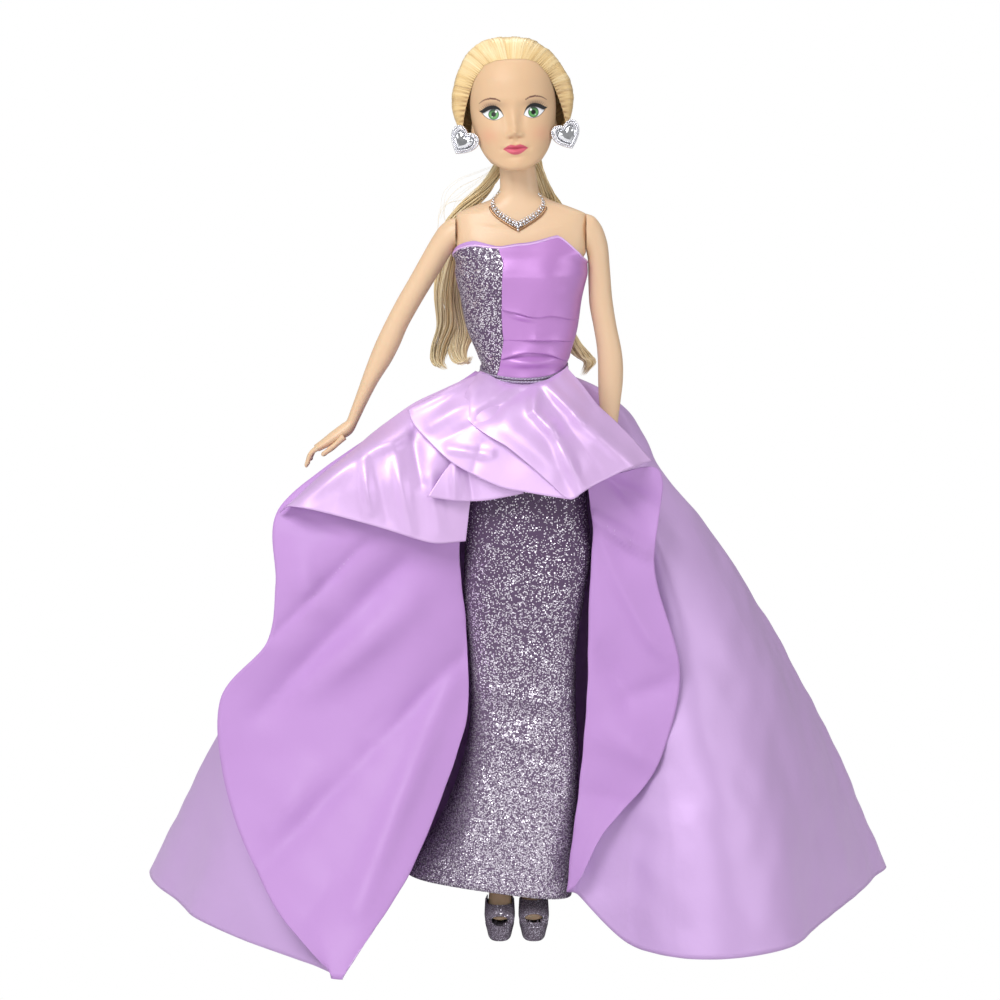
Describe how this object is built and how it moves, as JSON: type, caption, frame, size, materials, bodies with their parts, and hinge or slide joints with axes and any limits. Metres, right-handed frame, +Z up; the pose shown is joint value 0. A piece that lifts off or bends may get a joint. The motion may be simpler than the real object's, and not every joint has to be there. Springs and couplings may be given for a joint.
{
  "type": "fashion doll",
  "caption": "Standing fashion doll in a strapless gown with a gathered satin overskirt, a long train, a glitter tube skirt, heart earrings and platform shoes.",
  "frame": {"origin": "middle of the whole floor area, at the height of the shoe soles", "axes": "+Z up, the doll faces -Y, +X is the doll's left side"},
  "size_m": [0.275, 0.1654, 0.3066],
  "materials": {
    "body_vinyl": "smooth moulded vinyl, satin",
    "face_vinyl": "soft vinyl with painted features",
    "hard_plastic": "moulded, hidden",
    "hair": "silky golden blond fibre",
    "elastic": "thin elastic",
    "silver": "bright beaded silver",
    "stone": "faceted mirror",
    "glitter_cloth": "plum grey cloth set with silver glitter",
    "satin": "lilac satin",
    "closure_tape": "hook and loop tape",
    "cord": "grey violet metallic cord",
    "shoe_plastic": "dark plum with glitter"
  },
  "bodies": {
    "torso": {"torso_front_shell": "body_vinyl", "torso_back_shell": "body_vinyl", "neck_knob": "hard_plastic", "hip_bar": "hard_plastic", "ponytail_fall": "hair", "necklace_chain": "silver", "necklace_clasp": "silver", "bodice_glitter_panel": "glitter_cloth", "bodice_satin_panel": "satin", "bodice_facing": "satin", "bodice_back_left": "satin", "bodice_back_right": "satin", "closure_loop_strip": "closure_tape", "closure_hook_strip": "closure_tape", "waist_cord_lower": "cord", "waist_cord_upper": "cord", "skirt_front": "glitter_cloth", "skirt_back": "glitter_cloth", "left_drape": "satin", "side_flap": "satin", "front_drape": "satin", "left_lapel": "satin", "right_lapel": "satin", "train_left": "satin", "train_back": "satin", "train_right": "satin", "train_inner": "satin"},
    "head": {"head_shell": "face_vinyl", "hair_crown": "hair", "ponytail_root": "hair", "hair_tie": "elastic"},
    "arm_left": {"arm_left": "body_vinyl", "shoulder_peg_left": "hard_plastic"},
    "arm_right": {"arm_right": "body_vinyl", "shoulder_peg_right": "hard_plastic"},
    "leg_left": {"leg_left": "body_vinyl", "shoe_left": "shoe_plastic"},
    "leg_right": {"leg_right": "body_vinyl", "shoe_right": "shoe_plastic"},
    "earring_left": {"earring_left_frame": "silver", "earring_left_stone": "stone", "earring_left_stud": "silver"},
    "earring_right": {"earring_right_frame": "silver", "earring_right_stone": "stone", "earring_right_stud": "silver"}
  },
  "joints": [
    {"name": "neck_turn", "type": "hinge", "parent": "torso", "child": "head", "pos_m": [-0.002, -0.0219, 0.262], "axis": [0, 0, 1], "range_deg": [-80, 80]},
    {"name": "shoulder_left_swing", "type": "hinge", "parent": "torso", "child": "arm_left", "pos_m": [0.0213, -0.0219, 0.2405], "axis": [1, 0, 0], "range_deg": [-170, 0], "deforming": ["front_drape", "right_lapel"]},
    {"name": "shoulder_right_swing", "type": "hinge", "parent": "torso", "child": "arm_right", "pos_m": [-0.0225, -0.0219, 0.2405], "axis": [1, 0, 0], "continuous": true},
    {"name": "hip_left_swing", "type": "hinge", "parent": "torso", "child": "leg_left", "pos_m": [0.0076, -0.0219, 0.152], "axis": [1, 0, 0], "range_deg": [-2, 0.5]},
    {"name": "hip_right_swing", "type": "hinge", "parent": "torso", "child": "leg_right", "pos_m": [-0.0088, -0.0219, 0.152], "axis": [1, 0, 0], "range_deg": [-2, 0.5]},
    {"name": "earring_left_spin", "type": "hinge", "parent": "head", "child": "earring_left", "pos_m": [0.01457, -0.02798, 0.27188], "axis": [-0.3659, 0.9304, -0.0193], "range_deg": [-30, 30]},
    {"name": "earring_right_spin", "type": "hinge", "parent": "head", "child": "earring_right", "pos_m": [-0.01894, -0.02945, 0.26989], "axis": [0.2834, 0.9588, 0.0193], "range_deg": [-30, 30]}
  ]
}
